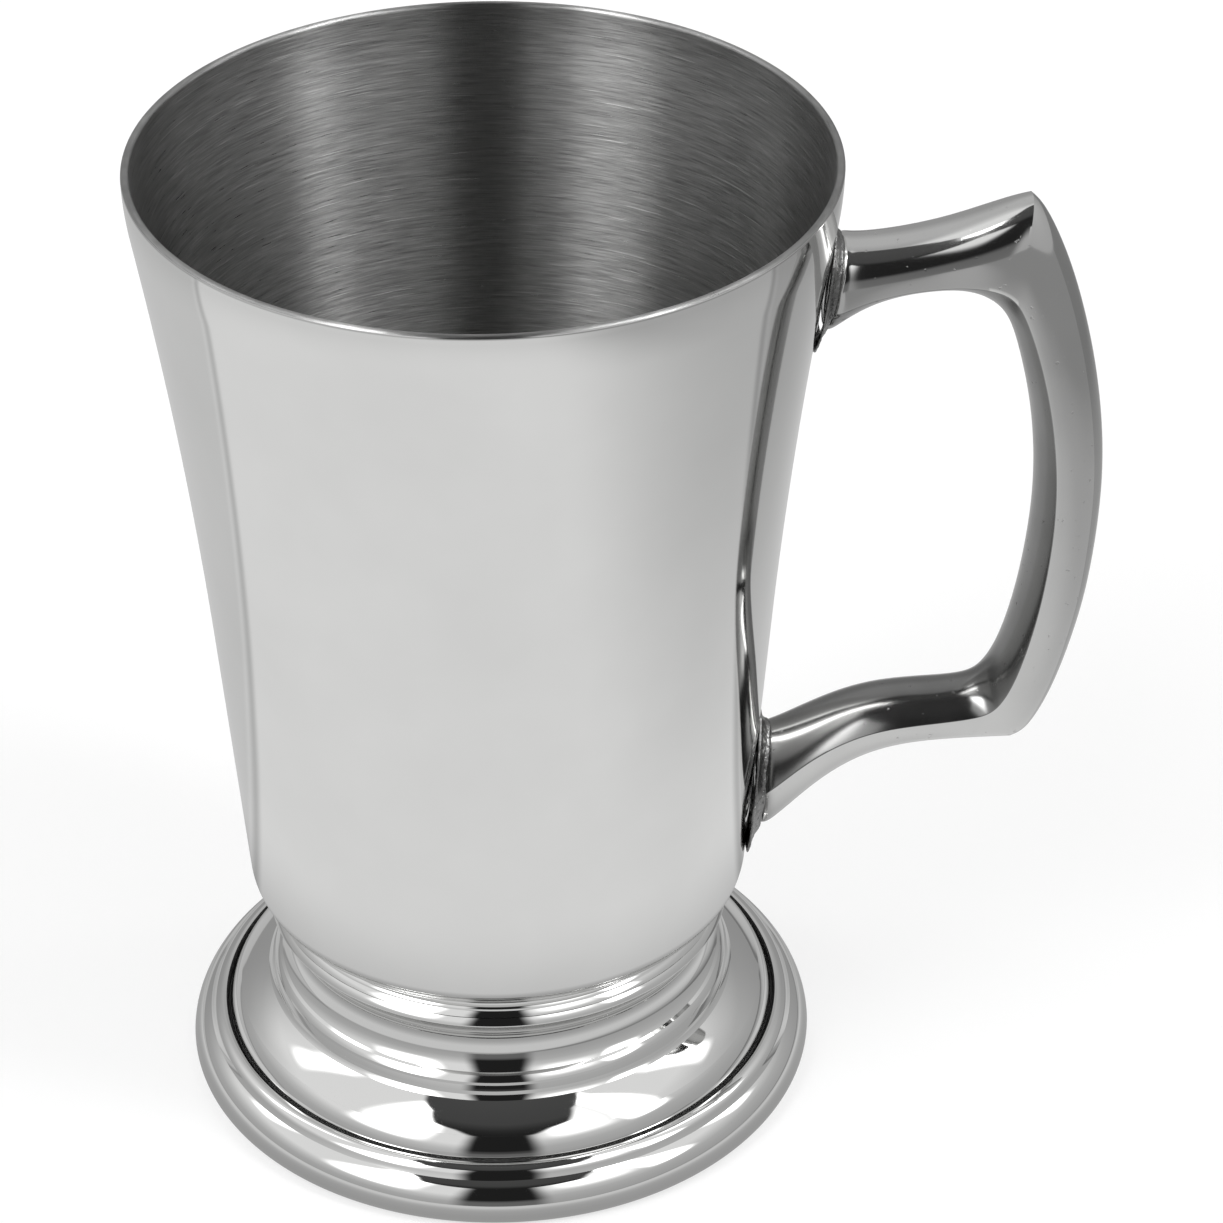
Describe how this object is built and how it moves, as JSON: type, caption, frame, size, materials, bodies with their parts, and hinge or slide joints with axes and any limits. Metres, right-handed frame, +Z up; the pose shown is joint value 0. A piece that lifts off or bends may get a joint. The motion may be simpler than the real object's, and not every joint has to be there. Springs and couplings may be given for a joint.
{
  "type": "footed tankard",
  "caption": "Polished pewter footed drinking cup: flared cup on a moulded pedestal foot with an angular cast handle.",
  "frame": {"origin": "centre of the plane that the foot rests on, on the axis of the cup", "axes": "+Z up the cup's axis, +X towards the handle, the handle lies in the XZ plane"},
  "size_m": [0.1322, 0.095, 0.1456],
  "materials": {
    "polished_pewter": "mirror polished outside, satin with round brush marks inside",
    "cast_pewter": "hand polished casting, softly uneven, with a few small pits",
    "solder": "dull grey, pitted"
  },
  "bodies": {
    "root": {"cup_body": "polished_pewter", "neck_ring": "polished_pewter", "neck_solder": "solder", "foot_shell": "polished_pewter", "foot_rim": "polished_pewter", "rim_solder": "solder", "handle": "cast_pewter", "upper_solder": "solder", "lower_solder": "solder"}
  },
  "joints": []
}
